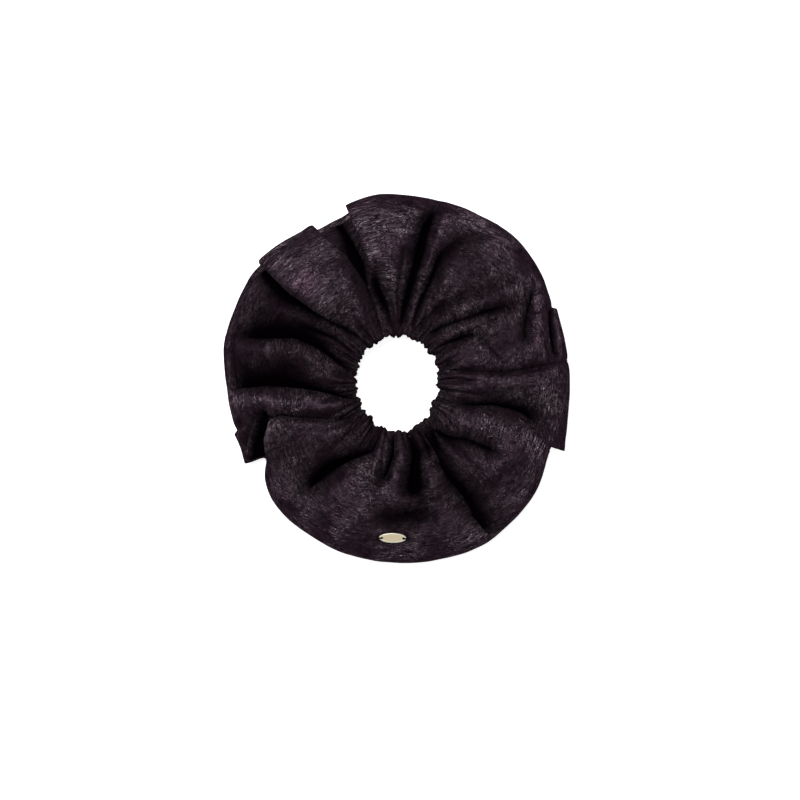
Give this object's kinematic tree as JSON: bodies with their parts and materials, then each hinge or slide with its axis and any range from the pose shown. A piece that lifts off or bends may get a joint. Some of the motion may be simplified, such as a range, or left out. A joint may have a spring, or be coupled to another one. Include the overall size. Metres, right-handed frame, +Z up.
{
  "type": "scrunchie",
  "caption": "Oversize gathered satin hair scrunchie on a flat elastic, with a small plain metal tag; it stretches to go round a ponytail, bun or wrist.",
  "frame": {"origin": "on the axis of the hole, at the level that the scrunchie rests on", "axes": "+Z up along the hole's axis, +Y away from the tag across the ring, +X to the right seen from above with the tag nearest the viewer"},
  "size_m": [0.1556, 0.1556, 0.025],
  "materials": {
    "cover_fabric": "crinkled satin jacquard, very dark aubergine",
    "elastic_webbing": "braided flat elastic, black",
    "thread": "polyester sewing thread, dark aubergine",
    "tag_metal": "polished pale gold plate"
  },
  "bodies": {
    "tag_half": {"cover_tag_half": "cover_fabric", "elastic_tag_half": "elastic_webbing", "long_seam_thread_tag_half": "thread", "metal_tag": "tag_metal", "tag_thread_left": "thread", "tag_thread_right": "thread"},
    "pull_half": {"cover_pull_half": "cover_fabric", "elastic_pull_half": "elastic_webbing", "long_seam_thread_pull_half": "thread", "closing_seam_thread": "thread", "elastic_lap_thread": "thread"}
  },
  "joints": [
    {"name": "stretch", "type": "slide", "parent": "tag_half", "child": "pull_half", "axis": [0, 1, 0], "range_m": [0, 0.06], "stiffness_N_per_m": 80}
  ]
}
